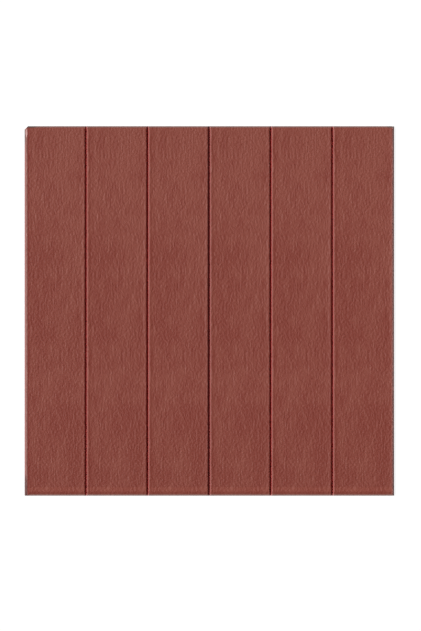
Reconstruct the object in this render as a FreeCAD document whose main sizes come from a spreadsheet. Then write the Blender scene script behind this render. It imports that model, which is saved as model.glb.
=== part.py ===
import FreeCAD, Part

import math
import os

import Sketcher
from FreeCAD import Vector

# Self-adhesive foam wall panel with a planked, wood-look face.
#
# One square sheet of closed-cell foam, hot-pressed and die-cut in one piece.
# Narrow pressed grooves divide its face into planks of one width, and half a
# groove runs down each long edge, so that two panels laid side by side show a
# whole groove at their joint. The foam is rolled over at the ends of the
# planks. The corner at the top left has lost its tip.
#
# X runs across the planks, Y along them and Z out of the face. The origin is
# the middle of the flat back, which is the face that is stuck to the wall.
# Lengths are in millimetres.

SIZES = {
    # the die-cut sheet
    "panel_width": 700,
    "panel_length": 700,
    "panel_thickness": 6,
    "corner_radius": 1.5,
    "clipped_corner": 6.5,
    # the pressed grooves between the planks
    "plank_count": 6,
    "groove_width": 7.2,
    "groove_floor": 1.8,
    "groove_root_radius": 0.4,
    "groove_shoulder_radius": 1,
    # the rolled ends of the planks
    "end_roll_radius": 12,
    "end_roll_length": 8.5,
}

# point numbers that a sketch gives to the start, end and centre of an edge
START, END, CENTRE = 1, 2, 3
# number of the sketch's own origin
ORIGIN = -1


def size_sheet(document):
    """The driving sizes, one named cell each."""
    sheet = document.addObject("Spreadsheet::Sheet", "sizes")
    for row, (alias, value) in enumerate(SIZES.items(), start=1):
        sheet.set(f"A{row}", alias)
        sheet.set(f"B{row}", str(value))
        sheet.setAlias(f"B{row}", alias)
    document.recompute()
    return sheet


def origin_feature(body, role):
    return next(item for item in body.Origin.OriginFeatures if item.Role == role)


def sketch_on(body, plane_role, name):
    sketch = body.newObject("Sketcher::SketchObject", name)
    sketch.AttachmentSupport = [(origin_feature(body, plane_role), "")]
    sketch.MapMode = "FlatFace"
    return sketch


def line(start, end):
    return Part.LineSegment(Vector(*start, 0), Vector(*end, 0))


def arc(centre, radius, first_degrees, last_degrees):
    """Arc that runs anticlockwise from the first angle to the last."""
    circle = Part.Circle(Vector(*centre, 0), Vector(0, 0, 1), radius)
    return Part.ArcOfCircle(circle, math.radians(first_degrees), math.radians(last_degrees))


def join(sketch, kind, edge, point, next_edge, next_point):
    sketch.addConstraint(Sketcher.Constraint(kind, edge, point, next_edge, next_point))


def set_level(sketch, horizontal=(), vertical=()):
    for edge in horizontal:
        sketch.addConstraint(Sketcher.Constraint("Horizontal", edge))
    for edge in vertical:
        sketch.addConstraint(Sketcher.Constraint("Vertical", edge))


def dimension(sketch, name, kind, places, value, formula):
    """A named dimension, drawn at a value, that follows a formula of the driving sizes."""
    number = sketch.addConstraint(Sketcher.Constraint(kind, *places, value))
    sketch.renameConstraint(number, name)
    sketch.setExpression(f"Constraints.{name}", formula)


def sheet_outline(body, sizes):
    """Outline of the die-cut sheet: three rounded corners and one clipped one."""
    right = sizes.panel_width / 2
    top = sizes.panel_length / 2
    radius = sizes.corner_radius
    clip = sizes.clipped_corner
    sketch = sketch_on(body, "XY_Plane", "sheet_outline")
    bottom_edge = sketch.addGeometry(line((-right + radius, -top), (right - radius, -top)))
    bottom_right = sketch.addGeometry(arc((right - radius, -top + radius), radius, 270, 360))
    right_edge = sketch.addGeometry(line((right, -top + radius), (right, top - radius)))
    top_right = sketch.addGeometry(arc((right - radius, top - radius), radius, 0, 90))
    top_edge = sketch.addGeometry(line((right - radius, top), (-right + clip, top)))
    clipped_edge = sketch.addGeometry(line((-right + clip, top), (-right, top - clip)))
    left_edge = sketch.addGeometry(line((-right, top - clip), (-right, -top + radius)))
    bottom_left = sketch.addGeometry(arc((-right + radius, -top + radius), radius, 180, 270))

    round_the_corners = (bottom_edge, bottom_right, right_edge, top_right, top_edge)
    for edge, next_edge in zip(round_the_corners, round_the_corners[1:]):
        join(sketch, "Tangent", edge, END, next_edge, START)
    join(sketch, "Coincident", top_edge, END, clipped_edge, START)
    join(sketch, "Coincident", clipped_edge, END, left_edge, START)
    join(sketch, "Tangent", left_edge, END, bottom_left, START)
    join(sketch, "Tangent", bottom_left, END, bottom_edge, START)
    set_level(sketch, horizontal=(bottom_edge, top_edge), vertical=(right_edge, left_edge))
    for rounded in (top_right, bottom_left):
        sketch.addConstraint(Sketcher.Constraint("Equal", bottom_right, rounded))

    across, along = "sizes.panel_width / 2", "sizes.panel_length / 2"
    dimension(sketch, "right_half", "DistanceX", (ORIGIN, START, right_edge, START), right, across)
    dimension(sketch, "left_half", "DistanceX", (left_edge, START, ORIGIN, START), right, across)
    dimension(sketch, "top_half", "DistanceY", (ORIGIN, START, top_edge, START), top, along)
    dimension(sketch, "bottom_half", "DistanceY", (bottom_edge, START, ORIGIN, START), top, along)
    dimension(sketch, "corner", "Radius", (bottom_right,), radius, "sizes.corner_radius")
    clip_ends = (left_edge, START, clipped_edge, START)
    dimension(sketch, "clip_x", "DistanceX", clip_ends, clip, "sizes.clipped_corner")
    dimension(sketch, "clip_y", "DistanceY", clip_ends, clip, "sizes.clipped_corner")
    return sketch


def groove_section(body, sizes):
    """Section of one groove, over the left edge of the sheet.

    Two rounded shoulders, two straight walls and a rounded root, all tangent.
    """
    middle = -sizes.panel_width / 2
    face = sizes.panel_thickness
    half_width = sizes.groove_width / 2
    shoulder = sizes.groove_shoulder_radius
    root = sizes.groove_root_radius
    shoulder_height = face - shoulder
    root_height = sizes.groove_floor + root

    # the wall leans on both circles, so its slope follows from their distance
    drop = shoulder_height - root_height
    slope = math.atan2(drop, half_width) + math.asin((shoulder + root) / math.hypot(half_width, drop))
    turn = math.degrees(slope)
    side, rise = math.sin(slope), math.cos(slope)

    left, right = middle - half_width, middle + half_width
    left_wall_top = (left + shoulder * side, shoulder_height + shoulder * rise)
    left_wall_foot = (middle - root * side, root_height - root * rise)
    right_wall_foot = (middle + root * side, root_height - root * rise)
    right_wall_top = (right - shoulder * side, shoulder_height + shoulder * rise)

    sketch = sketch_on(body, "XZ_Plane", "groove_section")
    left_shoulder = sketch.addGeometry(arc((left, shoulder_height), shoulder, 90 - turn, 90))
    left_wall = sketch.addGeometry(line(left_wall_top, left_wall_foot))
    root_arc = sketch.addGeometry(arc((middle, root_height), root, 270 - turn, 270 + turn))
    right_wall = sketch.addGeometry(line(right_wall_foot, right_wall_top))
    right_shoulder = sketch.addGeometry(arc((right, shoulder_height), shoulder, 90, 90 + turn))
    mouth = sketch.addGeometry(line((right, face), (left, face)))

    join(sketch, "Tangent", left_shoulder, START, left_wall, START)
    join(sketch, "Tangent", left_wall, END, root_arc, START)
    join(sketch, "Tangent", root_arc, END, right_wall, START)
    join(sketch, "Tangent", right_wall, END, right_shoulder, END)
    join(sketch, "Coincident", right_shoulder, START, mouth, START)
    join(sketch, "Coincident", mouth, END, left_shoulder, END)
    join(sketch, "Vertical", left_shoulder, CENTRE, left_shoulder, END)
    join(sketch, "Vertical", right_shoulder, CENTRE, right_shoulder, START)
    set_level(sketch, horizontal=(mouth,))
    sketch.addConstraint(Sketcher.Constraint("Equal", left_shoulder, right_shoulder))

    mouth_ends = (mouth, END, mouth, START)
    dimension(sketch, "mouth", "DistanceX", mouth_ends, 2 * half_width, "sizes.groove_width")
    half_ends = (mouth, END, root_arc, CENTRE)
    dimension(sketch, "half_mouth", "DistanceX", half_ends, half_width, "sizes.groove_width / 2")
    middle_ends = (root_arc, CENTRE, ORIGIN, START)
    dimension(sketch, "middle", "DistanceX", middle_ends, -middle, "sizes.panel_width / 2")
    face_ends = (ORIGIN, START, mouth, START)
    dimension(sketch, "face", "DistanceY", face_ends, face, "sizes.panel_thickness")
    root_ends = (ORIGIN, START, root_arc, CENTRE)
    root_formula = "sizes.groove_floor + sizes.groove_root_radius"
    dimension(sketch, "root_height", "DistanceY", root_ends, root_height, root_formula)
    dimension(sketch, "root", "Radius", (root_arc,), root, "sizes.groove_root_radius")
    shoulder_formula = "sizes.groove_shoulder_radius"
    dimension(sketch, "shoulder", "Radius", (left_shoulder,), shoulder, shoulder_formula)
    return sketch


def end_roll_section(body, sizes):
    """What the rolled end of the planks lacks of a square edge, at the top.

    The roll is an arc that leaves the face smoothly and meets the cut end at a slant.
    """
    end = sizes.panel_length / 2
    face = sizes.panel_thickness
    radius = sizes.end_roll_radius
    length = sizes.end_roll_length
    slant = math.asin(length / radius)
    end_height = face - radius * (1 - math.cos(slant))
    sketch = sketch_on(body, "YZ_Plane", "end_roll_section")
    roll_middle = (end - length, face - radius)
    roll = sketch.addGeometry(arc(roll_middle, radius, 90 - math.degrees(slant), 90))
    along_face = sketch.addGeometry(line((end - length, face), (end, face)))
    down_end = sketch.addGeometry(line((end, face), (end, end_height)))

    join(sketch, "Coincident", roll, END, along_face, START)
    join(sketch, "Coincident", along_face, END, down_end, START)
    join(sketch, "Coincident", down_end, END, roll, START)
    join(sketch, "Vertical", roll, CENTRE, roll, END)
    set_level(sketch, horizontal=(along_face,), vertical=(down_end,))

    outer_corner = (ORIGIN, START, along_face, END)
    face_ends = (along_face, START, along_face, END)
    dimension(sketch, "roll", "Radius", (roll,), radius, "sizes.end_roll_radius")
    dimension(sketch, "roll_length", "DistanceX", face_ends, length, "sizes.end_roll_length")
    dimension(sketch, "end", "DistanceX", outer_corner, end, "sizes.panel_length / 2")
    dimension(sketch, "face", "DistanceY", outer_corner, face, "sizes.panel_thickness")
    return sketch


def cut_through(body, name, section):
    """Removes a section from the whole width or length of the sheet."""
    cut = body.newObject("PartDesign::Pocket", name)
    cut.Profile = section
    cut.Type = "ThroughAll"
    cut.SideType = "Symmetric"
    return cut


def foam_panel(document, sizes):
    """The sheet with its grooves and rolled ends, as one solid."""
    body = document.addObject("PartDesign::Body", "foam_panel")
    body.Label = "foam_panel"

    sheet = body.newObject("PartDesign::Pad", "foam_sheet")
    sheet.Profile = sheet_outline(body, sizes)
    sheet.setExpression("Length", "sizes.panel_thickness")
    document.recompute()

    cut_through(body, "edge_groove", groove_section(body, sizes))
    document.recompute()
    grooves = body.newObject("PartDesign::LinearPattern", "plank_grooves")
    grooves.Originals = [document.edge_groove]
    grooves.Direction = (origin_feature(body, "X_Axis"), [""])
    grooves.setExpression("Length", "sizes.panel_width")
    grooves.setExpression("Occurrences", "sizes.plank_count + 1")
    body.Tip = grooves
    document.recompute()

    cut_through(body, "top_end_roll", end_roll_section(body, sizes))
    document.recompute()
    rolls = body.newObject("PartDesign::Mirrored", "end_rolls")
    rolls.Originals = [document.top_end_roll]
    rolls.MirrorPlane = (origin_feature(body, "XZ_Plane"), [""])
    body.Tip = rolls
    document.recompute()

    body.Placement = FreeCAD.Placement()
    return body


def check_document(document):
    """Stops if an object failed, a sketch is loose or a cut removed nothing."""
    for item in document.Objects:
        if "Invalid" in item.State or "Error" in item.State:
            raise RuntimeError(f"{item.Name} failed: {item.State}")
        if item.TypeId == "Sketcher::SketchObject" and not item.FullyConstrained:
            raise RuntimeError(f"sketch {item.Name} is not fully constrained")
    steps = ("foam_sheet", "edge_groove", "plank_grooves", "top_end_roll", "end_rolls")
    volumes = [document.getObject(step).Shape.Volume for step in steps]
    for step, before, after in zip(steps[1:], volumes, volumes[1:]):
        if not after < before:
            raise RuntimeError(f"{step} removed nothing")


def write_step(body):
    shape = body.Shape
    if shape.isNull() or not shape.isValid() or len(shape.Solids) != 1:
        raise RuntimeError(f"{body.Label} is not one valid solid")
    os.makedirs("parts", exist_ok=True)
    shape.exportStep(f"parts/{body.Label}.step")
    box = shape.BoundBox
    print(f"{body.Label}: {box.XLength:.2f} x {box.YLength:.2f} x {box.ZLength:.2f} mm,")
    print(f"  {shape.Volume / 1000:.1f} cm3, {len(shape.Faces)} faces")


document = FreeCAD.newDocument("foam_wall_panel")
sizes = size_sheet(document)
panel = foam_panel(document, sizes)
check_document(document)
write_step(panel)
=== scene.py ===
import math

import bmesh
import bpy
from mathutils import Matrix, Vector


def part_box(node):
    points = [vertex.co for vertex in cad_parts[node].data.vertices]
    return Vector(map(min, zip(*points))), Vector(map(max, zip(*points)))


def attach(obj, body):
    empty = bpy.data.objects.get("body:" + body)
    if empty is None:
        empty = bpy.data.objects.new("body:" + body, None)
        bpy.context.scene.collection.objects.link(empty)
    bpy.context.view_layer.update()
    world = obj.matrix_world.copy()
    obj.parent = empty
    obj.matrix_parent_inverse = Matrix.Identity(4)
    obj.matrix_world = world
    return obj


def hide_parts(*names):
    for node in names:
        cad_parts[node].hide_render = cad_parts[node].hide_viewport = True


# Foam wall panel with a planked, wood-look face, lying face up on a pale floor.
#
# X runs across the planks, Y along them and Z out of the face. Blender's unit is
# the metre, and MM turns the panel's sizes, which are in millimetres, into it.

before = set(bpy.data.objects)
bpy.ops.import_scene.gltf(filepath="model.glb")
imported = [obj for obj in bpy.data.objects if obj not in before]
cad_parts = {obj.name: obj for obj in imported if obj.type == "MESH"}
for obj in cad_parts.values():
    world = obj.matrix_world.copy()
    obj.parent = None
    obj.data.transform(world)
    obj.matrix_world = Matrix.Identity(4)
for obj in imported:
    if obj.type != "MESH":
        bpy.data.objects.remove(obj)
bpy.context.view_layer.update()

MM = 0.001

# Outer size of the sheet, from the solid.
SHEET_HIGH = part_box("foam_panel")[1]
HALF_WIDTH = SHEET_HIGH.x
HALF_LENGTH = SHEET_HIGH.y
FACE = SHEET_HIGH.z

# Sizes of the pressed form, as in the solid.
PLANKS = 6
GROOVE_WIDTH = 7.2 * MM
GROOVE_FLOOR = 1.8 * MM
GROOVE_ROOT_RADIUS = 0.4 * MM
GROOVE_SHOULDER_RADIUS = 1 * MM
END_ROLL_RADIUS = 12 * MM
END_ROLL_LENGTH = 8.5 * MM
CORNER_RADIUS = 1.5 * MM
CLIPPED_CORNER = 6.5 * MM
PITCH = 2 * HALF_WIDTH / PLANKS

# How finely the sheet is divided. A plank's columns are 1.4 mm apart and its rows
# 4.9 mm, so that each pressed stroke gets about four columns and six rows. Planks
# are joined where they come within MERGE, points within TOUCH of a plane lie in it,
# and edges that turn by less than SMOOTH_ANGLE degrees are shaded smooth.
PLANK_COLUMNS = 80
PLANK_ROWS = 140
SHOULDER_STEPS = 5
ROOT_STEPS = 3
WALL_STEPS = 2
ROLL_STEPS = 6
CORNER_CUTS = 3
MERGE = 0.01 * MM
TOUCH = 1e-6
SMOOTH_ANGLE = 35

# Relief of the face. The grain is pressed in by up to GRAIN_DEPTH, and the middle of a
# plank lies RIM_SWELL below its rim, which swells up beside the pressed groove. On the
# roundings, the relief runs out within RELIEF_FADE below the face.
GRAIN_DEPTH = 0.25 * MM
RIM_SWELL = 0.35 * MM
RIM_WIDTH = 6 * MM
RELIEF_FADE = 0.6 * MM

# The strokes of the grain, each as width and length in mm, seed and levels of detail.
# Strokes of 1 mm, as a press plate has them, are too fine to show in the picture, so
# the finest are drawn 4.2 mm wide. The slow patches have the seed that puts light and
# dark about where the photograph has them.
PRESSED_STROKES = (6, 30, 3, 2)
SHORT_STROKES = (4.2, 5.2, 7, 1)
LONG_STROKES = (4.2, 18, 31, 1)
BROAD_STROKES = (12, 30, 9, 2)
SLOW_PATCHES = (60, 170, 263, 1)

# How pressed and broad strokes wander: slowly along the plank, by up to half of SWAY
# each way.
WANDER = (35, 60, 11, 1)
SWAY = 1.5 * MM

# The film's fine relief. It starts on a groove's shoulder, between these distances from
# the groove's middle, and lower down the film is smooth.
FINE_DEPTH = 0.97 * MM
SHOULDER_START = 2.2 * MM
SHOULDER_END = 2.65 * MM

# Shares of the long strokes in the fine ones, and of the broad strokes and the slow
# patches in the tone.
LONG_SHARE = 0.34
BROAD_SHARE = 0.6
SLOW_SHARE = 0.35

# The film is lighter towards the top edge. On the tone's scale it is FADE + FADE_GAIN
# above the panel's middle there, and FADE - FADE_GAIN below it at the bottom edge.
FADE = 0.056
FADE_GAIN = 0.033

# The film's tone, from deep to pale, each as a place on the tone's scale and a colour.
# In a groove the colour is painted light and shade: a deep red painted shade at the root, a
# paler painted light on the wall that faces the lamp, and a redder painted shade on the other.
DEEP_TONE = (0.40, "#7A3022")
PALE_TONE = (0.62, "#843F31")
PAINTED_SHADE_ROOT_COLOUR = "#A51A10"
PAINTED_LIGHT_WALL_COLOUR = "#865A55"
PAINTED_SHADE_WALL_COLOUR = "#B03A30"

# Marks of cutting and wear on the film, and painted light and shade, in mm from the sheet's top
# left corner: middle, reach across and along, strength and colour. Each lies over those before it.
PANEL = 2 * HALF_WIDTH / MM
MIDDLE = PANEL / 2
ALL_ALONG = 2 * PANEL
MARKS_AND_PAINTED_LIGHT = (
    # The right edge, paler where the foam shows at the cut, and lightened most at its middle
    # with painted light, as from the white room on the shaded wall of its half groove.
    ((PANEL, MIDDLE), (5.5, ALL_ALONG), 0.25, "#F0C0B8"),
    ((PANEL, 0.52 * PANEL), (3, 0.6 * PANEL), 0.8, "#FFB4AA"),
    # The left edge, a little paler, and brown at the cut, where shade is painted along the half
    # groove's root.
    ((0, MIDDLE), (9, ALL_ALONG), 0.08, "#D9D3CB"),
    ((0, MIDDLE), (2.6, ALL_ALONG), 0.5, "#5C2E2C"),
    # The top and bottom edges, dulled and whitened by the die.
    ((MIDDLE, 0), (ALL_ALONG, 4), 0.28, "#838481"),
    ((MIDDLE, PANEL), (ALL_ALONG, 4), 0.18, "#D9D3CB"),
    # A lighter band, where the bottom end starts to roll down: painted light, as on a swell there
    # that faces the lamp.
    ((MIDDLE, PANEL - 12), (ALL_ALONG, 5.5), 0.12, "#B0604C"),
    # A dark red line beside the half groove on the left: painted shade, as on a rim that tilts
    # away from the lamp.
    ((7, MIDDLE), (1.8, ALL_ALONG), 0.6, "#7E1B14"),
    # Painted shade on the dark side of the middle groove, deeper than in the others.
    ((MIDDLE - 1.3, MIDDLE), (3.2, ALL_ALONG), 0.6, "#4A0000"),
    # A pale patch below the broken corner.
    ((3.6, 13), (2.4, 10), 0.5, "#E3B4AE"),
    # Painted shade on both sides of the broken corner, and the bottom left corner darker.
    ((11, 0.4), (16, 3.4), 0.85, "#4A3430"),
    ((0, 18), (2.8, 24), 0.85, "#4A3430"),
    ((2, PANEL - 12), (3.4, 36), 0.8, "#431C1A"),
    # The top right corner slightly darker, with its tip lightened by painted light where the
    # corner lies in shade.
    ((PANEL - 6, 1.4), (9, 3.4), 0.4, "#4A4440"),
    ((PANEL, 0), (4, 4), 0.8, "#F4ECE8"),
)

# The cells of the foam at the cut edge, and the paper's cloudy fibres, at real size.
CELL_WIDTH = 0.45 * MM
CELL_DEPTH = 0.1 * MM
FIBRE_CLOUD = 12 * MM

# Where the photograph has the panel, in pixels of the picture.
PICTURE_WIDTH, PICTURE_HEIGHT = 421, 631
PANEL_LEFT, PANEL_RIGHT = 24.58, 394.16
PANEL_TOP, PANEL_BOTTOM = 126.2, 495.7

# The camera stands so far off that it sees the sheet without perspective.
CAMERA_DISTANCE = 16.0

# The key lamp: what a flat face gets from it, its height in degrees, how far it is
# turned from the left towards the top edge, and how wide it looks from the panel.
KEY_SHARE = 0.95
KEY_HEIGHT = 42
KEY_TURN = 8
KEY_SPREAD = 12

# The room: what it adds to the light on a face, and what is seen and mirrored. There its
# walls are white up to WALL_TOP and dim from CEILING_EDGE on, both as the sine of the
# angle above the floor. The dim ceiling keeps the film's sheen out of the grooves.
ROOM_SHARE = 0.02
WALL_TOP = 0.35
CEILING_EDGE = 0.7
CEILING = 0.15

# The floor that the camera sees: a glow that is nearly white, and as much matt grey as
# makes it quite white in the light and leaves the panel's shadow on it.
FLOOR_SIZE = 12
FLOOR_GAP = 0.2 * MM
FLOOR_GLOW = 0.9
FLOOR_SHADED = "#656565"

# Settings that several nodes share. The Mix node has a socket of the same name for each
# type of value, so its sockets go by number.
SMOOTHLY = {"interpolation_type": "SMOOTHSTEP"}
COLOURS = {"data_type": "RGBA"}
SHARE, FROM_VALUE, TO_VALUE, FROM_COLOUR, TO_COLOUR = 0, 2, 3, 6, 7
MIXED_COLOUR = 2


def linear(hex_colour):
    """Turns an sRGB hex colour into linear light, with full alpha."""
    channels = [int(hex_colour[at:at + 2], 16) / 255 for at in (1, 3, 5)]
    return [c / 12.92 if c <= 0.04045 else ((c + 0.055) / 1.055) ** 2.4 for c in channels] + [1]


def connect(tree, node, inputs):
    """Sets the inputs of a node, and links those for which another node's output is given."""
    for name, value in inputs.items():
        if isinstance(value, bpy.types.NodeSocket):
            tree.links.new(value, node.inputs[name])
        else:
            node.inputs[name].default_value = value


def add_node(tree, kind, settings=None, inputs=None, output=0):
    """Adds a node with its settings, input values and links, and returns one of its outputs."""
    node = tree.nodes.new(kind)
    for name, value in (settings or {}).items():
        setattr(node, name, value)
    connect(tree, node, inputs or {})
    return node.outputs[output] if node.outputs else None


# The pressed sheet

def select_where(sheet, kind, test):
    """Selects the vertices, edges or faces of the mesh in edit mode that pass a test."""
    bpy.ops.mesh.select_mode(type={"verts": "VERT", "edges": "EDGE", "faces": "FACE"}[kind])
    bpy.ops.mesh.select_all(action="DESELECT")
    mesh = bmesh.from_edit_mesh(sheet.data)
    for element in getattr(mesh, kind):
        if test(element):
            element.select_set(True)
    mesh.select_flush_mode()
    bmesh.update_edit_mesh(sheet.data)


def edge_on(axis, place):
    """A test for edges that lie in a plane across an axis."""
    return lambda edge: all(abs(vertex.co[axis] - place) < TOUCH for vertex in edge.verts)


def groove_flank():
    """One side of a groove, from the face down to its middle, as (distance out, height)."""
    half = GROOVE_WIDTH / 2
    shoulder_height = FACE - GROOVE_SHOULDER_RADIUS
    root_height = GROOVE_FLOOR + GROOVE_ROOT_RADIUS
    drop = shoulder_height - root_height
    reach = math.hypot(half, drop)
    both_radii = GROOVE_SHOULDER_RADIUS + GROOVE_ROOT_RADIUS
    slope = math.atan2(drop, half) + math.asin(both_radii / reach)
    points = []
    for step in range(1, SHOULDER_STEPS + 1):
        turn = slope * step / SHOULDER_STEPS
        points.append((
            half - GROOVE_SHOULDER_RADIUS * math.sin(turn),
            shoulder_height + GROOVE_SHOULDER_RADIUS * math.cos(turn),
        ))
    wall_top = Vector(points[-1])
    wall_foot = Vector((
        GROOVE_ROOT_RADIUS * math.sin(slope),
        root_height - GROOVE_ROOT_RADIUS * math.cos(slope),
    ))
    for step in range(1, WALL_STEPS + 1):
        points.append(tuple(wall_top.lerp(wall_foot, step / WALL_STEPS)))
    for step in range(1, ROOT_STEPS + 1):
        turn = slope * (1 - step / ROOT_STEPS)
        points.append((
            GROOVE_ROOT_RADIUS * math.sin(turn),
            root_height - GROOVE_ROOT_RADIUS * math.cos(turn),
        ))
    return points


def press_flanks(sheet, middle, flat_half):
    """Draws both long edges of a plank's flat face out and down into half a groove each."""
    for side in (-1, 1):
        select_where(sheet, "edges", edge_on(0, middle + side * flat_half))
        out, height = GROOVE_WIDTH / 2, FACE
        for next_out, next_height in groove_flank():
            move = (side * (out - next_out), 0, next_height - height)
            bpy.ops.mesh.extrude_edges_move(TRANSFORM_OT_translate={"value": move})
            out, height = next_out, next_height


def roll_ends(sheet):
    """Draws the ends out over the roll and lowers what stands above it."""
    slant = math.asin(END_ROLL_LENGTH / END_ROLL_RADIUS)
    turns = [slant * step / ROLL_STEPS for step in range(1, ROLL_STEPS + 1)]
    flat_end = HALF_LENGTH - END_ROLL_LENGTH
    for side in (-1, 1):
        select_where(sheet, "edges", edge_on(1, side * flat_end))
        reach = 0
        for turn in turns:
            next_reach = END_ROLL_RADIUS * math.sin(turn)
            move = (0, side * (next_reach - reach), 0)
            bpy.ops.mesh.extrude_edges_move(TRANSFORM_OT_translate={"value": move})
            reach = next_reach
        for turn in turns:
            place = side * (flat_end + END_ROLL_RADIUS * math.sin(turn))
            height = FACE - END_ROLL_RADIUS * (1 - math.cos(turn))
            select_where(
                sheet, "verts",
                lambda vertex: abs(vertex.co.y - place) < TOUCH and vertex.co.z > height,
            )
            bpy.ops.transform.resize(value=(1, 1, 0), center_override=(0, 0, height))


def close_sheet(sheet):
    """Draws the outline down to the floor and closes the flat back."""
    bpy.ops.mesh.select_mode(type="EDGE")
    bpy.ops.mesh.select_all(action="DESELECT")
    bpy.ops.mesh.select_non_manifold(extend=False)
    bpy.ops.mesh.extrude_edges_move()
    bpy.ops.transform.resize(value=(1, 1, 0), center_override=(0, 0, 0))
    bpy.ops.mesh.edge_face_add()
    bpy.ops.mesh.select_all(action="SELECT")
    bpy.ops.mesh.normals_make_consistent(inside=False)


def cut_outside(point, normal):
    """Cuts off what lies beyond an upright plane and closes the cut."""
    bpy.ops.mesh.select_all(action="SELECT")
    bpy.ops.mesh.bisect(plane_co=point, plane_no=normal, use_fill=True, clear_outer=True)


def cut_corners():
    """Rounds three corners and takes the tip off the one at the top left."""
    for side_x, side_y in ((-1, -1), (1, -1), (1, 1)):
        middle = Vector((
            side_x * (HALF_WIDTH - CORNER_RADIUS),
            side_y * (HALF_LENGTH - CORNER_RADIUS),
            0,
        ))
        for cut in range(CORNER_CUTS):
            turn = math.pi / 2 * (cut + 0.5) / CORNER_CUTS
            normal = Vector((side_x * math.cos(turn), side_y * math.sin(turn), 0))
            cut_outside(middle + CORNER_RADIUS * normal, normal)
    cut_outside((-HALF_WIDTH + CLIPPED_CORNER, HALF_LENGTH, 0), (-1, 1, 0))


def pressed_sheet():
    """The whole sheet: one plank is drawn and repeated, then closed and cut to its outline."""
    bpy.ops.object.select_all(action="DESELECT")
    bpy.ops.mesh.primitive_grid_add(
        x_subdivisions=PLANK_COLUMNS, y_subdivisions=PLANK_ROWS, size=1,
    )
    sheet = bpy.context.object
    sheet.name = "pressed_foam_sheet"
    sheet.data.name = "pressed_foam_sheet"
    first_middle = -HALF_WIDTH + PITCH / 2
    flat_half = (PITCH - GROOVE_WIDTH) / 2

    bpy.ops.object.mode_set(mode="EDIT")
    flat_length = 2 * (HALF_LENGTH - END_ROLL_LENGTH)
    bpy.ops.transform.resize(value=(2 * flat_half, flat_length, 1), center_override=(0, 0, 0))
    bpy.ops.transform.translate(value=(first_middle, 0, FACE))
    press_flanks(sheet, first_middle, flat_half)
    roll_ends(sheet)
    bpy.ops.object.mode_set(mode="OBJECT")

    repeat = sheet.modifiers.new("planks side by side", "ARRAY")
    repeat.count = PLANKS
    repeat.use_relative_offset = False
    repeat.use_constant_offset = True
    repeat.constant_offset_displace = (PITCH, 0, 0)
    repeat.use_merge_vertices = True
    repeat.merge_threshold = MERGE
    bpy.ops.object.modifier_apply(modifier=repeat.name)

    bpy.ops.object.mode_set(mode="EDIT")
    close_sheet(sheet)
    cut_corners()
    bpy.ops.object.mode_set(mode="OBJECT")
    return sheet


# The embossed grain

def plank_place(tree, place):
    """The same point on the first plank: the press plate has one plank's grain six times."""
    across = add_node(tree, "ShaderNodeSeparateXYZ", inputs={0: place}, output="X")
    along = across.node.outputs["Y"]
    from_edge = add_node(
        tree, "ShaderNodeMath", {"operation": "ADD"}, {0: across, 1: HALF_WIDTH},
    )
    on_plank = add_node(
        tree, "ShaderNodeMath", {"operation": "FLOORED_MODULO"}, {0: from_edge, 1: PITCH},
    )
    return add_node(tree, "ShaderNodeCombineXYZ", inputs={"X": on_plank, "Y": along})


def strokes(tree, place, width, length, seed, detail):
    """Strokes along the planks, 0 to 1, about as wide and as long as given in mm."""
    spread = (1 / (width * MM), 1 / (length * MM), 0)
    scaled = add_node(
        tree, "ShaderNodeVectorMath", {"operation": "MULTIPLY"}, {0: place, 1: spread},
    )
    moved = add_node(
        tree, "ShaderNodeVectorMath", {"operation": "ADD"}, {0: scaled, 1: (seed, seed, 0)},
    )
    return add_node(
        tree, "ShaderNodeTexNoise", {"noise_dimensions": "2D"},
        {"Vector": moved, "Scale": 1, "Detail": detail, "Roughness": 0.5},
    )


def swayed(tree, place):
    """Shifts a point sideways, slowly along the plank, so that a broad stroke isn't straight."""
    wander = strokes(tree, place, *WANDER)
    centred = add_node(tree, "ShaderNodeMath", {"operation": "SUBTRACT"}, {0: wander, 1: 0.5})
    shift = add_node(tree, "ShaderNodeMath", {"operation": "MULTIPLY"}, {0: centred, 1: SWAY})
    sideways = add_node(tree, "ShaderNodeCombineXYZ", inputs={"X": shift})
    return add_node(
        tree, "ShaderNodeVectorMath", {"operation": "ADD"}, {0: place, 1: sideways},
    )


def root_distance(tree, place):
    """Distance of a point, across the planks, from the middle of the nearest groove."""
    across = add_node(tree, "ShaderNodeSeparateXYZ", inputs={0: place}, output="X")
    from_edge = add_node(
        tree, "ShaderNodeMath", {"operation": "ADD"}, {0: across, 1: HALF_WIDTH},
    )
    return add_node(
        tree, "ShaderNodeMath", {"operation": "PINGPONG"}, {0: from_edge, 1: PITCH / 2},
    )


def rim_distance(tree, place):
    """Distance of a point on a plank's face from the nearest groove or rolled end."""
    to_groove = add_node(
        tree, "ShaderNodeMath", {"operation": "SUBTRACT"},
        {0: root_distance(tree, place), 1: GROOVE_WIDTH / 2},
    )
    up_panel = add_node(tree, "ShaderNodeSeparateXYZ", inputs={0: place}, output="Y")
    along = add_node(tree, "ShaderNodeMath", {"operation": "ABSOLUTE"}, {0: up_panel})
    flat_end = HALF_LENGTH - END_ROLL_LENGTH
    to_roll = add_node(
        tree, "ShaderNodeMath", {"operation": "SUBTRACT"}, {0: flat_end, 1: along},
    )
    return add_node(
        tree, "ShaderNodeMath", {"operation": "MINIMUM"}, {0: to_groove, 1: to_roll},
    )


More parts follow.
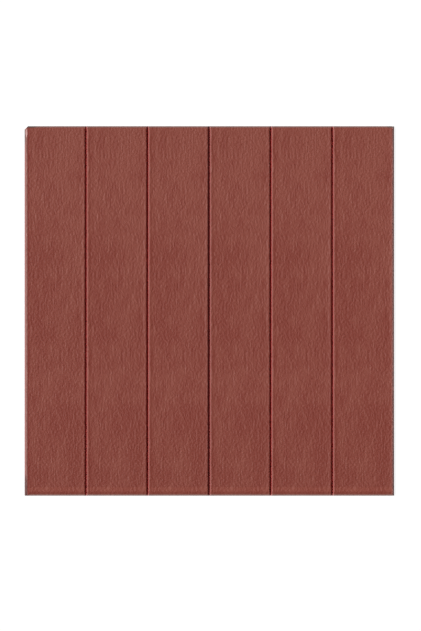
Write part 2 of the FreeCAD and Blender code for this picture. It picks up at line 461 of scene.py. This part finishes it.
def emboss(sheet):
    """Presses the grain's strokes into the planks, whose rims stand a little proud."""
    tree = bpy.data.node_groups.new("embossed grain", "GeometryNodeTree")
    for end in ("INPUT", "OUTPUT"):
        tree.interface.new_socket("Geometry", in_out=end, socket_type="NodeSocketGeometry")
    geometry = add_node(tree, "NodeGroupInput")
    place = add_node(tree, "GeometryNodeInputPosition")
    height = add_node(tree, "ShaderNodeSeparateXYZ", inputs={0: place}, output="Z")
    on_face = add_node(
        tree, "ShaderNodeMapRange", SMOOTHLY,
        {"Value": height, "From Min": FACE - RELIEF_FADE, "From Max": FACE},
    )
    pressed = strokes(tree, swayed(tree, plank_place(tree, place)), *PRESSED_STROKES)
    grain = add_node(
        tree, "ShaderNodeMath", {"operation": "MULTIPLY"}, {0: pressed, 1: GRAIN_DEPTH},
    )
    below_rim = add_node(
        tree, "ShaderNodeMapRange", SMOOTHLY,
        {"Value": rim_distance(tree, place), "From Max": RIM_WIDTH, "To Max": RIM_SWELL},
    )
    depth = add_node(tree, "ShaderNodeMath", {"operation": "ADD"}, {0: grain, 1: below_rim})
    kept = add_node(tree, "ShaderNodeMath", {"operation": "MULTIPLY"}, {0: depth, 1: on_face})
    lowered = add_node(tree, "ShaderNodeMath", {"operation": "MULTIPLY"}, {0: kept, 1: -1})
    down = add_node(tree, "ShaderNodeCombineXYZ", inputs={"Z": lowered})
    relief = add_node(
        tree, "GeometryNodeSetPosition", inputs={"Geometry": geometry, "Offset": down},
    )
    add_node(tree, "NodeGroupOutput", inputs={0: relief})

    modifier = sheet.modifiers.new("embossed grain", "NODES")
    modifier.node_group = tree
    bpy.ops.object.modifier_apply(modifier=modifier.name)


# Finishes

def new_finish(name):
    """A new material, its node tree and the point on the sheet that its patterns read."""
    material = bpy.data.materials.new(name)
    material.use_nodes = True
    tree = material.node_tree
    return material, tree, add_node(tree, "ShaderNodeTexCoord", output="Object")


def oval_patch(tree, place, middle, reach):
    """An oval patch on the face, for a mark or for painted light and shade: 1 over the inner half
    of its reach, and 0 past its reach.
    """
    from_middle = add_node(
        tree, "ShaderNodeVectorMath", {"operation": "SUBTRACT"},
        {0: place, 1: (-HALF_WIDTH + middle[0] * MM, HALF_LENGTH - middle[1] * MM, 0)},
    )
    scaled = add_node(
        tree, "ShaderNodeVectorMath", {"operation": "MULTIPLY"},
        {0: from_middle, 1: (1 / (reach[0] * MM), 1 / (reach[1] * MM), 0)},
    )
    distance = add_node(
        tree, "ShaderNodeVectorMath", {"operation": "LENGTH"}, {0: scaled}, "Value",
    )
    return add_node(
        tree, "ShaderNodeMapRange", SMOOTHLY,
        {"Value": distance, "From Min": 0.5, "From Max": 1, "To Min": 1, "To Max": 0},
    )


def lay_marks_and_painted_light(tree, place, colour):
    """Lays the marks and the painted light and shade over the film's colour."""
    for middle, reach, strength, shade in MARKS_AND_PAINTED_LIGHT:
        share = add_node(
            tree, "ShaderNodeMath", {"operation": "MULTIPLY"},
            {0: oval_patch(tree, place, middle, reach), 1: strength},
        )
        colour = add_node(
            tree, "ShaderNodeMix", COLOURS,
            {SHARE: share, FROM_COLOUR: colour, TO_COLOUR: linear(shade)}, MIXED_COLOUR,
        )
    return colour


def film_tone(tree, place, plank, fine):
    """The film's colour on the face: paler on the strokes, in slow patches and up the panel."""
    broad = strokes(tree, swayed(tree, plank), *BROAD_STROKES)
    slow = strokes(tree, plank, *SLOW_PATCHES)
    streaks = add_node(
        tree, "ShaderNodeMix", inputs={SHARE: BROAD_SHARE, FROM_VALUE: fine, TO_VALUE: broad},
    )
    patches = add_node(
        tree, "ShaderNodeMix", inputs={SHARE: SLOW_SHARE, FROM_VALUE: streaks, TO_VALUE: slow},
    )
    along = add_node(tree, "ShaderNodeSeparateXYZ", inputs={0: place}, output="Y")
    up_panel = add_node(
        tree, "ShaderNodeMath", {"operation": "DIVIDE"}, {0: along, 1: HALF_LENGTH},
    )
    fade = add_node(
        tree, "ShaderNodeMath", {"operation": "MULTIPLY_ADD"},
        {0: up_panel, 1: FADE_GAIN, 2: FADE},
    )
    faded = add_node(
        tree, "ShaderNodeMath", {"operation": "MULTIPLY_ADD"},
        {0: up_panel, 1: fade, 2: patches},
    )
    tone = add_node(tree, "ShaderNodeValToRGB", inputs={"Fac": faded})
    for stop, (position, shade) in zip(tone.node.color_ramp.elements, (DEEP_TONE, PALE_TONE)):
        stop.position = position
        stop.color = linear(shade)
    return tone


def groove_painted_light_and_shade(tree, plank, from_root):
    """The film's colour in a groove, from its root up its lit or shaded wall: painted light and
    shade.
    """
    across = add_node(tree, "ShaderNodeSeparateXYZ", inputs={0: plank}, output="X")
    # Painted shade on the plank's right side, the groove wall turned from the lamp, and painted
    # light on its left side.
    shaded = add_node(
        tree, "ShaderNodeMath", {"operation": "GREATER_THAN"}, {0: across, 1: PITCH / 2},
    )
    wall = add_node(
        tree, "ShaderNodeMix", COLOURS,
        {
            SHARE: shaded,
            FROM_COLOUR: linear(PAINTED_LIGHT_WALL_COLOUR),
            TO_COLOUR: linear(PAINTED_SHADE_WALL_COLOUR),
        },
        MIXED_COLOUR,
    )
    # Painted shade in deep red towards the root.
    out_of_root = add_node(
        tree, "ShaderNodeMapRange", SMOOTHLY,
        {"Value": from_root, "From Min": 0, "From Max": SHOULDER_END},
    )
    return add_node(
        tree, "ShaderNodeMix", COLOURS,
        {SHARE: out_of_root, FROM_COLOUR: linear(PAINTED_SHADE_ROOT_COLOUR), TO_COLOUR: wall}, MIXED_COLOUR,
    )


def embossed_polyethylene_film():
    """Polyethylene film in a deep red brown, hot-pressed against a grained plate: a matt skin
    whose strokes catch the light on their flanks. The press leaves it smooth in the grooves,
    where its colour is painted light and shade: paler on the wall that faces the lamp, and
    redder on the shaded wall and at the root."""
    material, tree, place = new_finish("embossed_polyethylene_film")
    plank = plank_place(tree, place)
    from_root = root_distance(tree, place)
    on_face = add_node(
        tree, "ShaderNodeMapRange", SMOOTHLY,
        {"Value": from_root, "From Min": SHOULDER_START, "From Max": SHOULDER_END},
    )
    short = strokes(tree, plank, *SHORT_STROKES)
    long = strokes(tree, plank, *LONG_STROKES)
    fine = add_node(
        tree, "ShaderNodeMix", inputs={SHARE: LONG_SHARE, FROM_VALUE: short, TO_VALUE: long},
    )
    height = add_node(
        tree, "ShaderNodeMath", {"operation": "MULTIPLY"}, {0: fine, 1: on_face},
    )
    relief = add_node(
        tree, "ShaderNodeBump",
        inputs={"Strength": 1.0, "Distance": FINE_DEPTH, "Height": height},
    )
    colour = add_node(
        tree, "ShaderNodeMix", COLOURS,
        {
            SHARE: on_face,
            FROM_COLOUR: groove_painted_light_and_shade(tree, plank, from_root),
            TO_COLOUR: film_tone(tree, place, plank, fine),
        },
        MIXED_COLOUR,
    )
    connect(tree, tree.nodes["Principled BSDF"], {
        "Base Color": lay_marks_and_painted_light(tree, place, colour),
        "Roughness": 0.58,
        "IOR": 1.51,
        "Normal": relief,
    })
    return material


def closed_cell_foam():
    """White polyethylene foam, die-cut: a matt edge with cells under half a millimetre wide."""
    material, tree, place = new_finish("die_cut_closed_cell_foam")
    cells = add_node(
        tree, "ShaderNodeTexVoronoi", inputs={"Vector": place, "Scale": 1 / CELL_WIDTH},
    )
    relief = add_node(
        tree, "ShaderNodeBump",
        inputs={"Strength": 1.0, "Distance": CELL_DEPTH, "Height": cells},
    )
    connect(tree, tree.nodes["Principled BSDF"], {
        "Base Color": linear("#D9D3CB"),
        "Roughness": 0.8,
        "IOR": 1.5,
        "Normal": relief,
    })
    return material


def release_paper():
    """Glassine release paper, silicone coated: a smooth, faintly mottled off-white back."""
    material, tree, place = new_finish("glassine_release_paper")
    fibres = add_node(
        tree, "ShaderNodeTexNoise",
        inputs={"Vector": place, "Scale": 1 / FIBRE_CLOUD, "Detail": 4},
    )
    mottle = add_node(
        tree, "ShaderNodeMix", COLOURS,
        {SHARE: fibres, FROM_COLOUR: linear("#E4DFCF"), TO_COLOUR: linear("#EDE9DC")},
        MIXED_COLOUR,
    )
    connect(tree, tree.nodes["Principled BSDF"], {
        "Base Color": mottle,
        "Roughness": 0.4,
        "IOR": 1.5,
    })
    return material


def finish_faces(sheet):
    """Film on the pressed face, bare foam on the upright cut edge and paper on the back."""
    for material in (embossed_polyethylene_film(), closed_cell_foam(), release_paper()):
        sheet.data.materials.append(material)
    film, foam, paper = range(3)
    for face in sheet.data.polygons:
        if face.normal.z < -0.5:
            face.material_index = paper
        elif abs(face.normal.z) < 0.05:
            face.material_index = foam
        else:
            face.material_index = film


# The studio

def seen_directly(tree):
    """1 for what is seen directly, mirrored or through glass, and 0 for light on a surface."""
    seen = add_node(tree, "ShaderNodeLightPath", output="Is Camera Ray")
    light_path = seen.node.outputs
    mirrored = add_node(
        tree, "ShaderNodeMath", {"operation": "MAXIMUM"},
        {0: light_path["Is Glossy Ray"], 1: light_path["Is Transmission Ray"]},
    )
    return add_node(
        tree, "ShaderNodeMath", {"operation": "MAXIMUM"}, {0: seen, 1: mirrored},
    )


def pale_floor():
    """White floor that the camera sees as plain white, with the panel's shadow on it."""
    bpy.ops.object.select_all(action="DESELECT")
    bpy.ops.mesh.primitive_plane_add(size=FLOOR_SIZE, location=(0, 0, -FLOOR_GAP))
    floor = bpy.context.object
    floor.name = "studio_floor"
    material = bpy.data.materials.new("white_studio_floor")
    material.use_nodes = True
    tree = material.node_tree
    tree.nodes.clear()
    matt = add_node(tree, "ShaderNodeBsdfDiffuse", inputs={"Color": linear("#E6E6E6")})
    shaded = add_node(tree, "ShaderNodeBsdfDiffuse", inputs={"Color": linear(FLOOR_SHADED)})
    glow = add_node(tree, "ShaderNodeEmission", inputs={"Strength": FLOOR_GLOW})
    backdrop = add_node(tree, "ShaderNodeAddShader", inputs={0: shaded, 1: glow})
    surface = add_node(
        tree, "ShaderNodeMixShader", inputs={0: seen_directly(tree), 1: matt, 2: backdrop},
    )
    add_node(tree, "ShaderNodeOutputMaterial", inputs={"Surface": surface})
    floor.data.materials.append(material)


def key_lamp():
    """A soft, wide lamp on the left, which lights the right wall of each groove."""
    height = math.radians(KEY_HEIGHT)
    turn = math.radians(KEY_TURN)
    lamp = bpy.data.lights.new("key_light", "SUN")
    lamp.energy = math.pi * KEY_SHARE / math.sin(height)
    lamp.angle = math.radians(KEY_SPREAD)
    key = bpy.data.objects.new("key_light", lamp)
    aim = Vector((
        math.cos(height) * math.cos(turn),
        -math.cos(height) * math.sin(turn),
        -math.sin(height),
    ))
    key.rotation_euler = aim.to_track_quat("-Z", "Y").to_euler()
    bpy.context.scene.collection.objects.link(key)


def white_room():
    """The room around the panel, which fills its shadows a little and is mirrored in its sheen."""
    world = bpy.data.worlds.new("white_room")
    bpy.context.scene.world = world
    world.use_nodes = True
    tree = world.node_tree
    direction = add_node(tree, "ShaderNodeTexCoord", output="Generated")
    up = add_node(tree, "ShaderNodeSeparateXYZ", inputs={0: direction}, output="Z")
    walls = add_node(
        tree, "ShaderNodeMapRange",
        inputs={
            "Value": up, "From Min": WALL_TOP, "From Max": CEILING_EDGE,
            "To Min": 1, "To Max": CEILING,
        },
    )
    strength = add_node(
        tree, "ShaderNodeMapRange",
        inputs={"Value": seen_directly(tree), "To Min": ROOM_SHARE, "To Max": walls},
    )
    connect(tree, tree.nodes["Background"], {"Color": linear("#FFFFFF"), "Strength": strength})


def picture_camera():
    """Looks straight down on the panel, framed as in the photograph."""
    scene = bpy.context.scene
    metres_per_pixel = 2 * HALF_WIDTH / (PANEL_RIGHT - PANEL_LEFT)
    right_of_panel = (PICTURE_WIDTH / 2 - (PANEL_LEFT + PANEL_RIGHT) / 2) * metres_per_pixel
    below_panel = (PICTURE_HEIGHT / 2 - (PANEL_TOP + PANEL_BOTTOM) / 2) * metres_per_pixel
    lens = bpy.data.cameras.new("picture_camera")
    lens.sensor_fit = "VERTICAL"
    lens.lens = lens.sensor_height * CAMERA_DISTANCE / (PICTURE_HEIGHT * metres_per_pixel)
    camera = bpy.data.objects.new("picture_camera", lens)
    camera.location = (right_of_panel, -below_panel, FACE + CAMERA_DISTANCE)
    scene.collection.objects.link(camera)
    scene.camera = camera
    scene.view_settings.view_transform = "Standard"


sheet = pressed_sheet()
emboss(sheet)
bpy.ops.object.shade_smooth_by_angle(angle=math.radians(SMOOTH_ANGLE))
finish_faces(sheet)
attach(sheet, "root")
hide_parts("foam_panel")

pale_floor()
key_lamp()
white_room()
picture_camera()
